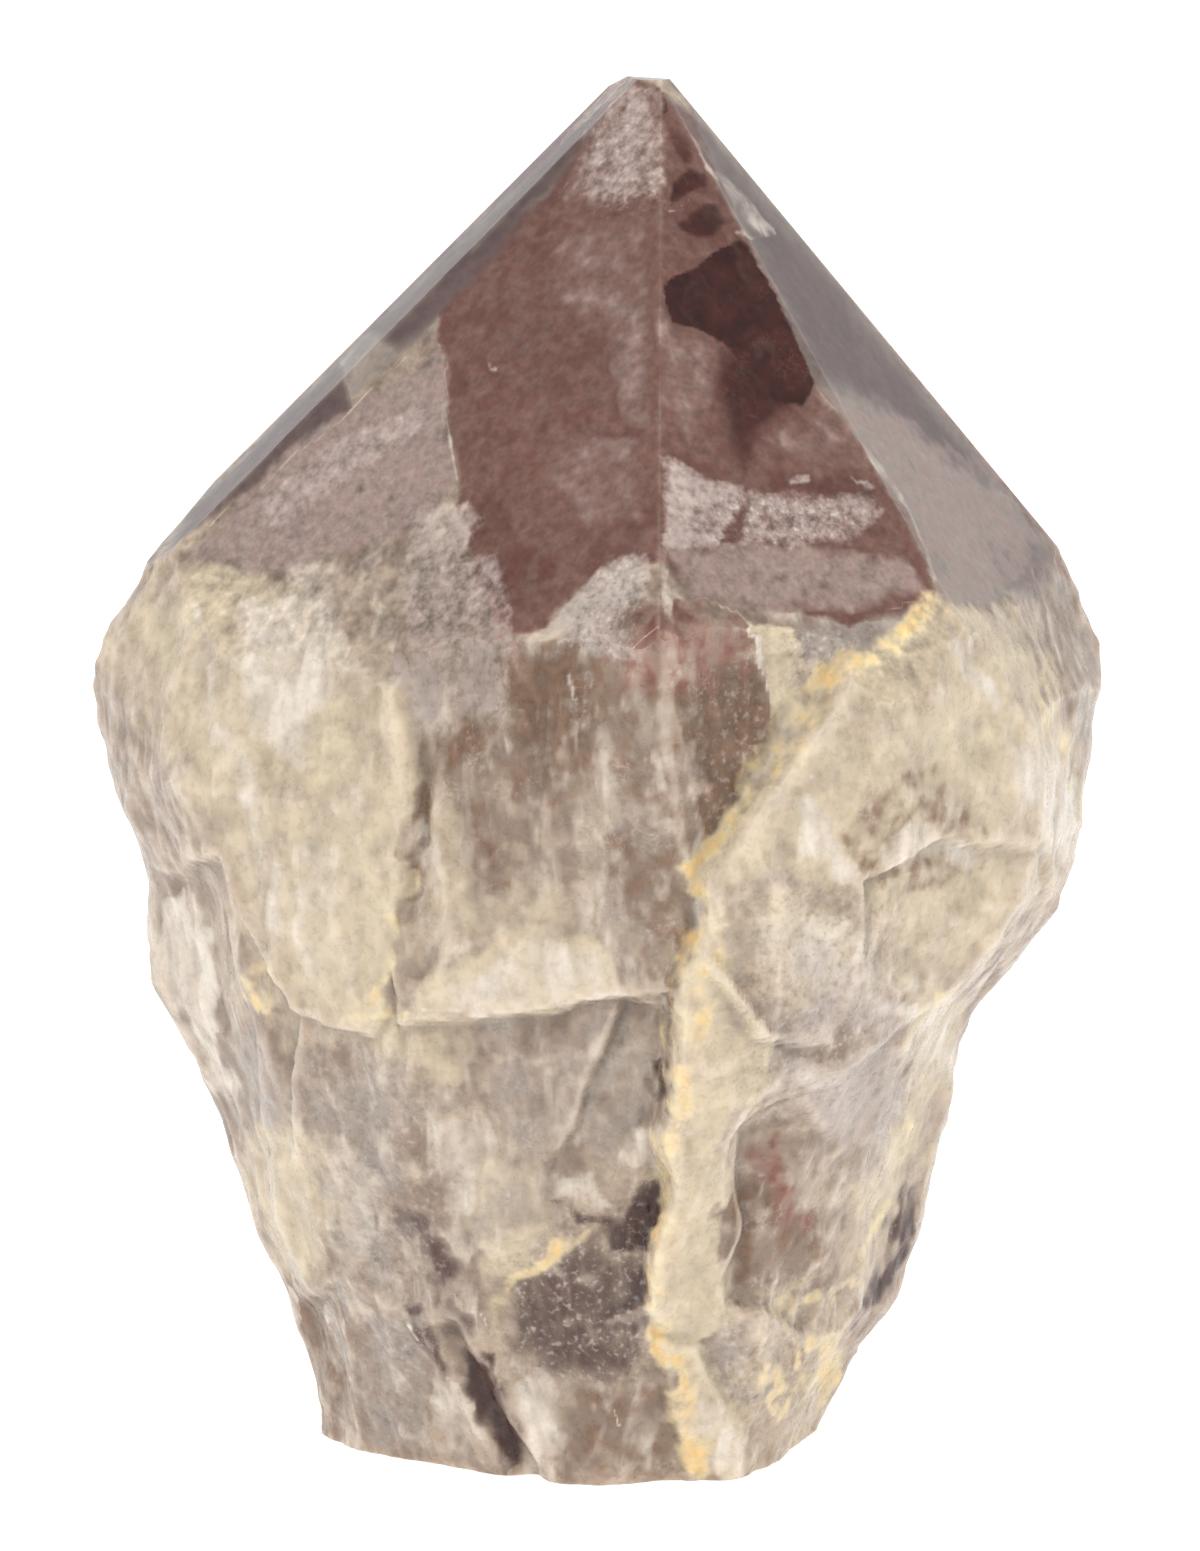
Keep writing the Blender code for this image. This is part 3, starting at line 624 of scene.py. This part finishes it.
def rough_blank():
    """A closed wall of fine quads pushed out to the rough skin, with a cap at each end."""
    share = np.arange(COLUMNS) / COLUMNS
    turns = 2 * math.pi * share - FRONT_CROWDING * np.cos(2 * math.pi * share)
    heights = BLANK_FOOT + (SKIN_TOP - BLANK_FOOT) * np.arange(RINGS + 1) / RINGS
    places = skin_points(np.tile(turns, RINGS + 1), np.repeat(heights, COLUMNS))
    mesh = bmesh.new()
    crest_layer = mesh.verts.layers.float.new("crest")
    verts = [mesh.verts.new(place) for place in places]
    rings = [verts[start:start + COLUMNS] for start in range(0, len(verts), COLUMNS)]
    for vert, value in zip(verts, crest_marks(places)):
        vert[crest_layer] = value
    rings.append([mesh.verts.new((vert.co.x, vert.co.y, BLANK_TOP)) for vert in rings[-1]])
    for lower, upper in zip(rings, rings[1:]):
        for here in range(COLUMNS):
            after = (here + 1) % COLUMNS
            mesh.faces.new((lower[here], lower[after], upper[after], upper[here]))
    mesh.faces.new(rings[0][::-1])
    mesh.faces.new(rings[-1])
    return mesh


def outward(facing, lean):
    """A normal that faces a way round the axis (degrees) and leans from upright."""
    facing, lean = math.radians(facing), math.radians(lean)
    flat = math.sin(lean)
    return Vector((math.cos(facing) * flat, math.sin(facing) * flat, math.cos(lean)))


def grind(mesh, point, normal):
    """Removes all that stands beyond a plane and closes the cut with one flat face."""
    everything = list(mesh.verts) + list(mesh.edges) + list(mesh.faces)
    cut = bmesh.ops.bisect_plane(
        mesh, geom=everything, dist=1e-4, plane_co=point, plane_no=normal, clear_outer=True
    )
    rim = [item for item in cut["geom_cut"] if isinstance(item, bmesh.types.BMEdge)]
    bmesh.ops.holes_fill(mesh, edges=rim, sides=0)


def tip_planes():
    """A point and the normal of each ground face, the blunt end last."""
    planes = [
        (Vector((TIP_X, 0.0, height)), outward(facing, lean))
        for facing, lean, height in TIP_FACES.values()
    ]
    return planes + [(Vector((0, 0, TIP_HEIGHT)), Vector((0, 0, 1)))]


def lies_in(face, planes):
    return any(
        face.normal.dot(normal) > 0.9999 and abs((face.verts[0].co - point).dot(normal)) < 0.01
        for point, normal in planes
    )


def round_edges(mesh, planes):
    """Rounds the long edges where two ground faces meet, and marks their corners as worn."""
    wear = mesh.verts.layers.float.new("wear")
    polish = mesh.faces.layers.float.new("polish")
    ground = {face for face in mesh.faces if lies_in(face, planes)}
    edges = [
        edge for edge in mesh.edges
        if len(edge.link_faces) == 2 and all(face in ground for face in edge.link_faces)
        and edge.calc_face_angle(0.0) > LEAST_EDGE
    ]
    rounded = bmesh.ops.bevel(
        mesh, geom=edges, offset=EDGE_ROUND, segments=2, profile=0.5, affect="EDGES",
        clamp_overlap=True,
    )
    for vert in rounded["verts"]:
        vert[wear] = 1.0
    for face in rounded["faces"]:
        face[polish] = 1.0


def split_long(edge, longest):
    """Splits an edge into steps no longer than asked."""
    while edge.calc_length() > 3.0 * longest:
        start = edge.verts[0]
        edge, corner = bmesh.utils.edge_split(edge, start, longest / edge.calc_length())
        if start in edge.verts:
            edge = next(other for other in corner.link_edges if start not in other.verts)


def lattice(rim, spacing):
    """Points in even rows of triangles inside a rim, a little clear of it."""
    low = np.min(rim, axis=0)
    high = np.max(rim, axis=0)
    rise = ROW_STEP * spacing
    down, across = np.mgrid[0:(high[1] - low[1]) / rise, 0:(high[0] - low[0]) / spacing]
    x = (low[0] + spacing * (across + 0.5 * (down % 2))).ravel()
    y = (low[1] + rise * down).ravel()
    inside = depth_inside([tuple(corner) for corner in rim], x, y) > RIM_GAP * spacing
    return np.stack([x[inside], y[inside]], axis=-1)


def fill_flat(mesh, face, spacing, polished):
    """Replaces a flat face by small even triangles, so that masks can lie on it."""
    polish = mesh.faces.layers.float["polish"]
    normal = face.normal.copy()
    side = Vector((0, 0, 1)).cross(normal) if abs(normal.z) < LEVEL else Vector((1, 0, 0))
    side.normalize()
    up = normal.cross(side)
    depth = face.verts[0].co.dot(normal)
    rim = list(face.verts)
    flat = [(vert.co.dot(side), vert.co.dot(up)) for vert in rim]
    points = [Vector(place) for place in flat + [tuple(p) for p in lattice(np.array(flat), spacing)]]
    made = geometry.delaunay_2d_cdt(points, [], [list(range(len(rim)))], 1, 1e-6)
    verts = []
    for place, sources in zip(made[0], made[3]):
        known = [number for number in sources if number < len(rim)]
        verts.append(
            rim[known[0]] if known
            else mesh.verts.new(side * place.x + up * place.y + normal * depth)
        )
    bmesh.ops.delete(mesh, geom=[face], context="FACES_ONLY")
    for corners in made[2]:
        mesh.faces.new([verts[number] for number in corners])[polish] = polished


def fill_flats(mesh, planes):
    """Makes the ground faces and the foot of small cells, with their long edges cut to match."""
    mesh.normal_update()
    for edge in list(mesh.edges):
        split_long(edge, CELL_IN_FRONT)
    foot = [face for face in mesh.faces if face.normal.z < -LEVEL and len(face.verts) > 4]
    for face in [face for face in mesh.faces if lies_in(face, planes)]:
        fill_flat(mesh, face, CELL_BEHIND if face.normal.y > 0.2 else CELL_IN_FRONT, 1.0)
    for face in foot:
        fill_flat(mesh, face, CELL_BEHIND, 0.0)


def mark_sharp(mesh):
    """Keeps the polished faces flat in their shading, and the rest smooth but for steep steps."""
    polish = mesh.faces.layers.float["polish"]
    for face in mesh.faces:
        face.smooth = True
    for edge in mesh.edges:
        if len(edge.link_faces) == 2:
            steep = edge.calc_face_angle(0.0)
            polished = sum(face[polish] for face in edge.link_faces) > 0
            edge.smooth = not (polished and steep > FLAT_ANGLE or steep > SHARP_ANGLE)


def photo_pixels(places):
    """Where each point shows in the photograph."""
    back = np.array(CAMERA_BACK)
    up = np.array([0.0, back[2], -back[1]])
    from_camera = places - (np.array(CAMERA_TARGET) + CAMERA_DISTANCE * back)
    scale = PIXELS_PER_MM * CAMERA_DISTANCE / -(from_camera @ back)
    return PHOTO_MIDDLE[0] + scale * from_camera[:, 0], PHOTO_MIDDLE[1] - scale * (from_camera @ up)


def zone_masks(places, polished):
    """One mask for each kind of zone, from the outlines and lines of the best side."""
    wandering = np.where(polished, WANDER_ON_POLISH, 1.0)
    across, down = photo_pixels(places)
    for size, reach in ZONE_WANDERS:
        aside, up = drift(places, size)
        across = across + PIXELS_PER_MM * reach * wandering * aside
        down = down + PIXELS_PER_MM * reach * wandering * up
    fading = np.array([noise.noise(Vector(p) / LINE_FADE) for p in places])
    fading = 0.5 + 0.5 * ease(0.5 + 1.6 * fading)
    sine = places[:, 1] / np.hypot(places[:, 0] - AXIS_X, places[:, 1])
    front = ease((FRONT_ENDS - sine) / FRONT_BLEND)
    masks = hidden_masks(places)
    for kind, zones in ZONES.items():
        mask = np.zeros(len(places))
        spread = np.where(polished, 1.0, 1.0 if kind in CRISP_KINDS else ROUGH_SPREAD)
        for strength, softness, *outline in zones.values():
            depth = depth_inside(pairs(outline), across, down) / PIXELS_PER_MM
            mask = np.maximum(mask, strength * ease(0.5 + depth / (2 * softness * spread)))
        for strength, half_width, *line in LINES.get(kind, {}).values():
            away = distance_to_line(pairs(line), across, down) / PIXELS_PER_MM
            mask = np.maximum(mask, strength * fading * (1 - ease(away / (1.3 * half_width))))
        masks[kind] = mask * front + masks[kind] * (1 - front)
    return masks


def hidden_masks(places):
    """The same kinds of zones for the sides that the photograph doesn't show."""
    fields = {}
    for number, (name, size) in enumerate(HIDDEN_SIZES.items()):
        offset = Vector((3.0, 5.0, 2.0)) * (1 + 4 * number)
        drawn = places * np.array([1.0, 1.0, 0.7]) / size
        fields[name] = np.array([noise.noise(Vector(p) + offset) for p in drawn])

    def patch(name, gain, start):
        return ease(gain * fields[name] + start)

    z = places[:, 2]
    tip = ease((z - 60) / 14 + fields["tip"])
    body = 1 - tip
    low = ease((34 - z) / 30)
    seam = 1 - ease(np.abs(fields["seam"]) / 0.14)
    return {
        "grey": 0.75 * patch("grey", 2.4, 0.3),
        "cream": body * 0.85 * patch("cream", 2.4, 0.4),
        "brown": body * 0.75 * patch("brown", 3.0, -0.2),
        "mauve": np.clip(0.95 * tip + body * 0.7 * patch("tip", 2.2, -0.25), 0, 1),
        "slate": tip * 0.6 * patch("grey", 2.5, 0.1),
        "dark": tip * 0.8 * patch("dark", 3.0, -0.3),
        "purple": low * 0.85 * patch("dark", 3.2, -0.1),
        "haze": 0.8 * patch("brown", 2.5, 0.0) * tip,
        "pale": 0.75 * patch("pale", 3.0, -0.1) * body,
        "veil": 0.5 * patch("veil", 3.0, -0.45),
        "speck": 0.7 * patch("veil", 2.5, 0.0),
        "stain": body * 0.8 * seam * patch("cream", 2.5, 0.1),
    }


def soft_polish(mesh, polished):
    """The share of polish at each vertex, with a soft end where the rough skin starts."""
    mesh.verts.index_update()
    one, other = np.array([[vert.index for vert in edge.verts] for edge in mesh.edges]).T
    share = np.array(polished, float)
    counts = np.bincount(np.concatenate([one, other]), minlength=len(share))
    for _ in range(POLISH_BLUR):
        near = np.bincount(one, share[other], len(share))
        near += np.bincount(other, share[one], len(share))
        share = near / counts
    return share


def crystal_mesh():
    """The whole crystal in millimetres, with its masks and a mark on the polished faces."""
    planes = tip_planes()
    noise.seed_set(WANDER_SEED)
    mesh = rough_blank()
    for point, normal in planes + [(Vector((0, 0, 0)), Vector((0, 0, -1)))]:
        grind(mesh, point, normal)
    mesh.normal_update()
    round_edges(mesh, planes)
    fill_flats(mesh, planes)
    bmesh.ops.triangulate(mesh, faces=[face for face in mesh.faces if len(face.verts) > 4])
    mesh.normal_update()
    mark_sharp(mesh)
    polish = mesh.faces.layers.float["polish"]
    top = [vert.co.copy() for vert in mesh.verts if vert.co.z > TIP_HEIGHT - 0.01]
    places = np.array([vert.co for vert in mesh.verts])
    polished = [all(face[polish] for face in vert.link_faces) for vert in mesh.verts]
    noise.seed_set(ZONE_SEED)
    masks = zone_masks(places, polished)
    for kind in LAYERS:
        masks[kind] = masks[kind] - OUTSIDE * (1 - ease(masks[kind] / 0.3))
    masks["glass"] = soft_polish(mesh, polished)
    for kind, mask in masks.items():
        layer = mesh.verts.layers.float.new(kind)
        for vert, value in zip(mesh.verts, mask):
            vert[layer] = value
    return mesh, sum(top, Vector()) / len(top)


def blunt_end():
    """The middle of the blunt end of the CAD solid, in millimetres."""
    places = np.array([vert.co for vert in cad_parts["crystal"].data.vertices]) / MM
    return Vector(places[places[:, 2] > TIP_HEIGHT - 0.01].mean(axis=0))


def in_scene(name, data):
    """A new object in the scene that shows or holds the data."""
    thing = bpy.data.objects.new(name, data)
    bpy.context.scene.collection.objects.link(thing)
    return thing


def crystal():
    """The crystal piece, which stands for the plain solid, and how far it was moved to fit it."""
    mesh, top = crystal_mesh()
    shift = blunt_end() - top
    low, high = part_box("crystal")
    for vert in mesh.verts:
        place = (vert.co + shift) * MM
        vert.co = [min(max(value, a), b) for value, a, b in zip(place, low, high)]
    data = bpy.data.meshes.new("amethyst crystal")
    mesh.to_mesh(data)
    mesh.free()
    data.materials.append(amethyst_material())
    piece = in_scene("amethyst_crystal", data)
    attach(piece, "root")
    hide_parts("crystal")
    return shift


def set_inputs(node, inputs):
    """Gives a node its inputs, as values or as sockets to link."""
    for name, value in inputs.items():
        if isinstance(value, bpy.types.NodeSocket):
            node.id_data.links.new(value, node.inputs[name])
        else:
            node.inputs[name].default_value = value


def put(kind, inputs, **settings):
    """A new node of the quartz."""
    node = QUARTZ.node_tree.nodes.new("ShaderNode" + kind)
    for name, value in settings.items():
        setattr(node, name, value)
    set_inputs(node, inputs)
    return node


def mask_of(name):
    return put("Attribute", {}, attribute_name=name).outputs["Fac"]


def calc(operation, *numbers):
    return put("Math", dict(enumerate(numbers)), operation=operation).outputs[0]


times = partial(calc, "MULTIPLY")
plus = partial(calc, "ADD")
minus = partial(calc, "SUBTRACT")


def between(value, low, high, to_low=0.0, to_high=1.0):
    """The value's share of the way from low to high, with soft ends."""
    inputs = {"Value": value, "From Min": low, "From Max": high, "To Min": to_low, "To Max": to_high}
    return put("MapRange", inputs, interpolation_type="SMOOTHSTEP").outputs["Result"]


def blend(share, first, second):
    """A mix of two colours."""
    inputs = {"Factor": share, 6: first, 7: second}
    return put("Mix", inputs, data_type="RGBA").outputs[2]


def blend_value(share, first, second):
    return put("Mix", {"Factor": share, "A": first, "B": second}).outputs[0]


def cloud(place, size, detail=3.0, roughness=0.55, distortion=0.0):
    """Smooth noise of a size in millimetres, about 0 to 1."""
    return put("TexNoise", {
        "Vector": place, "Scale": 1.0 / size, "Detail": detail, "Roughness": roughness,
        "Distortion": distortion,
    }).outputs["Fac"]


def stretched(place, scale, turn):
    """The place turned and then scaled, for noise drawn out one way."""
    return put("Mapping", {"Vector": place, "Scale": scale, "Rotation": turn}).outputs[0]


def reckoned(place, operation, amount):
    """The place moved or scaled by an amount along each axis."""
    return put("VectorMath", {0: place, 1: amount}, operation=operation).outputs[0]


def zoned(mottles):
    """The colour and the clearness of the quartz, one kind of zone laid over another."""
    broad = plus(mottles["broad"], times(mottles["middle"], 0.5))
    colour = blend(between(broad, 0.6, 0.9), *BODY_COLOURS[:2])
    colour = blend(between(mottles["wisp"], 0.45, 0.8), colour, BODY_COLOURS[2])
    clear = BODY_CLEAR
    wavers = {name: minus(mottle, 0.5) for name, mottle in mottles.items()}
    tints = {name: between(mottle, 0.28, 0.72) for name, mottle in mottles.items()}
    for kind, (first, second, mottling, breaking, softness, layer_clear) in LAYERS.items():
        broken = calc("MULTIPLY_ADD", wavers[mottling], breaking, mask_of(kind))
        share = between(broken, 0.5 - softness, 0.5 + softness)
        colour = blend(share, colour, blend(tints[mottling], first, second))
        clear = blend_value(share, clear, layer_clear)
    return colour, clear


def crumbled(colour, grain, patchy):
    """White and dark grains where the specks lie, and a few white ones anywhere."""
    speck = mask_of("speck")
    colour = blend(times(between(grain, 0.30, 0.46, 0.45, 0.0), speck), colour, DARK_CRUMB)
    share = calc("MAXIMUM", times(speck, 0.55), times(patchy, 0.2))
    return blend(times(between(grain, 0.54, 0.74), share), colour, WHITE_CRUMB)


def stained(blotch, colour, clear):
    """Yellow iron stain: a pale halo with a deeper core where it is strong."""
    stain = mask_of("stain")
    waver = minus(blotch, 0.5)
    halo = times(between(plus(stain, times(waver, 1.4)), 0.1, 0.7), between(stain, 0.0, 0.25))
    core = times(between(plus(stain, times(waver, 2.0)), 0.5, 1.1), between(stain, 0.1, 0.5))
    colour = blend(core, blend(times(halo, 0.8), colour, STAIN_HALO), STAIN_CORE)
    return colour, blend_value(halo, clear, STAIN_CLEAR)


def fibres(place, mottles):
    """Adds the drawn-out wisps and the lace of fine threads to the mottlings."""
    lean = stretched(place, (0.55, 0.55, 0.16), (0.0, GROWTH_LEAN, 0.3))
    mottles["wisp"] = cloud(lean, 1.4, 3.0, 0.55, 0.6)
    threads = cloud(reckoned(place, "ADD", (9.0, 2.0, 5.0)), 2.4, 3.0, 0.6)
    threads = calc("ABSOLUTE", minus(threads, 0.5), 0.0)
    lace = plus(times(mottles["middle"], 0.45), times(mottles["fine"], 0.55))
    mottles["lace"] = plus(lace, between(threads, 0.0, 0.12, 0.06, -0.04))
    return threads


def stone_looks(place, crest, mottles):
    """The painted colour of the quartz and how clear it is, with a painted highlight on the crests of the
    broken skin and painted shade in its hollows.
    """
    threads = fibres(place, mottles)
    wisp, white = mottles["wisp"], BODY_COLOURS[2]
    glass = mask_of("glass")
    colour, clear = zoned(mottles)
    colour = blend(times(between(wisp, 0.52, 0.72), between(glass, 0.0, 1.0, 0.12, 0.03)), colour, white)
    patchy = times(between(mottles["broad"], 0.5, 0.62), between(glass, 0.0, 1.0, 1.0, 0.1))
    grain = cloud(reckoned(place, "ADD", (3.0, 8.0, 1.0)), 0.55, 1.0, 0.7)
    colour, clear = stained(mottles["middle"], crumbled(colour, grain, patchy), clear)
    colour = blend(times(between(threads, 0.0, 0.012, 0.3, 0.0), patchy), colour, white)
    # Painted highlight: the colour turns whiter where the broken skin stands out at a crest.
    colour = blend(between(crest, 0.1, 0.9, 0.0, 0.3), colour, white)
    colour = blend(times(mask_of("wear"), between(wisp, 0.3, 0.6, 0.0, 0.3)), colour, WORN)
    uneven = minus(plus(mottles["fine"], mottles["middle"]), 1.0)
    ground = between(mask_of("grey"), 0.0, 1.0, 1.1, 0.4)
    uneven = times(uneven, blend_value(glass, 0.4, ground))
    # Painted shade: the colour darkens by up to 8 per cent in the hollows of the broken skin; the rest of
    # this factor is random unevenness of tone and the darker rough skin.
    light = times(between(crest, -0.9, -0.15, 0.92, 1.0), plus(uneven, 1.0))
    light = times(light, blend_value(glass, SKIN_SHADE, 1.0))
    colour = put("VectorMath", {0: colour, 3: light}, operation="SCALE").outputs[0]
    return colour, times(clear, blend_value(glass, SKIN_CLEAR, 1.0))


def surface_bump(place, polish):
    """Crinkles and growth lines on the broken skin, and almost nothing under the polish."""
    drawn = stretched(place, (0.9, 0.9, 0.16), (0.0, GROWTH_LEAN, 0.0))
    height = plus(cloud(place, 1.4, 0.0), cloud(drawn, 1.0, 0.0))
    strength = minus(0.4, times(polish, 0.38))
    inputs = {"Height": height, "Strength": strength, "Distance": BUMP_DEPTH}
    return put("Bump", inputs).outputs["Normal"]


def amethyst_material():
    """Clouded quartz: clear mauve under the polish, veiled and stained below."""
    QUARTZ.use_nodes = True
    QUARTZ.node_tree.nodes.clear()
    coordinates = put("TexCoord", {}).outputs["Object"]
    place = reckoned(coordinates, "MULTIPLY", (1 / MM, 1 / MM, 1 / MM))
    polish = mask_of("polish")
    # How far the broken skin stands out or sinks in; it drives the painted highlight on crests and the
    # painted shade in hollows.
    crest = times(mask_of("crest"), minus(1.0, polish))
    mottles = {
        name: cloud(reckoned(place, "ADD", (31.0 * number, 17.0, 7.0 * number)), *kind)
        for number, (name, kind) in enumerate(MOTTLES.items())
    }
    colour, clear = stone_looks(place, crest, mottles)
    rough = between(mottles["fine"], 0.3, 0.7, *ROUGH_SKIN)
    smooth = between(mottles["middle"], 0.3, 0.7, *ROUGH_POLISH)
    shader = put("BsdfPrincipled", {
        "Base Color": colour, "Roughness": blend_value(polish, rough, smooth), "IOR": QUARTZ_IOR,
        "Specular IOR Level": 0.25, "Normal": surface_bump(place, polish),
        "Transmission Weight": clear, "Subsurface Weight": 0.8,
        "Subsurface Radius": (1.0, 0.8, 0.65), "Subsurface Scale": 0.0035,
    })
    absorb = put("VolumeAbsorption", {"Color": ABSORBED, "Density": DENSITY})
    put("OutputMaterial", {
        "Surface": shader.outputs["BSDF"], "Volume": absorb.outputs["Volume"],
    })
    return QUARTZ


def floor():
    """A wide pale floor that fills the view."""
    mesh = bmesh.new()
    bmesh.ops.create_grid(mesh, x_segments=2, y_segments=2, size=6.0)
    data = bpy.data.meshes.new("floor")
    mesh.to_mesh(data)
    mesh.free()
    material = bpy.data.materials.new("pale floor")
    material.use_nodes = True
    set_inputs(material.node_tree.nodes["Principled BSDF"], {
        "Base Color": (0.93, 0.93, 0.93, 1), "Roughness": 0.9, "Specular IOR Level": 0.1,
        "Emission Color": (1, 1, 1, 1), "Emission Strength": 0.5,
    })
    data.materials.append(material)
    in_scene("floor", data)


def soft_light(name, place, size, power):
    light = bpy.data.lights.new(name, "AREA")
    light.shape = "SQUARE"
    light.size = size
    light.energy = power
    lamp = in_scene(name, light)
    lamp.location = place
    lamp.rotation_euler = (LIT - Vector(place)).to_track_quat("-Z", "Y").to_euler()


def studio():
    """Even white light from all round, with soft lamps above left and right."""
    world = bpy.data.worlds.new("studio")
    world.use_nodes = True
    set_inputs(world.node_tree.nodes["Background"], {"Color": (1, 1, 1, 1), "Strength": 0.8})
    bpy.context.scene.world = world
    soft_light("key", (-0.35, -0.55, 0.60), 0.3, 1.8)
    soft_light("fill", (0.60, -0.40, 0.35), 0.3, 0.9)
    bpy.context.scene.view_settings.view_transform = "Standard"


def camera(shift):
    """The photograph's own view: nine degrees above the middle of the stone."""
    back = Vector(CAMERA_BACK)
    aside = Vector((PICTURE_SHIFT / PIXELS_PER_MM, 0.0, 0.0))
    data = bpy.data.cameras.new("camera")
    data.sensor_fit = "VERTICAL"
    data.sensor_height = SENSOR_HEIGHT
    data.lens = SENSOR_HEIGHT * PIXELS_PER_MM * CAMERA_DISTANCE / PHOTO_HEIGHT
    view = in_scene("camera", data)
    view.location = (CAMERA_TARGET + CAMERA_DISTANCE * back + aside + shift) * MM
    view.rotation_euler = back.to_track_quat("Z", "Y").to_euler()
    bpy.context.scene.camera = view


frame_shift = crystal()
floor()
studio()
camera(frame_shift)
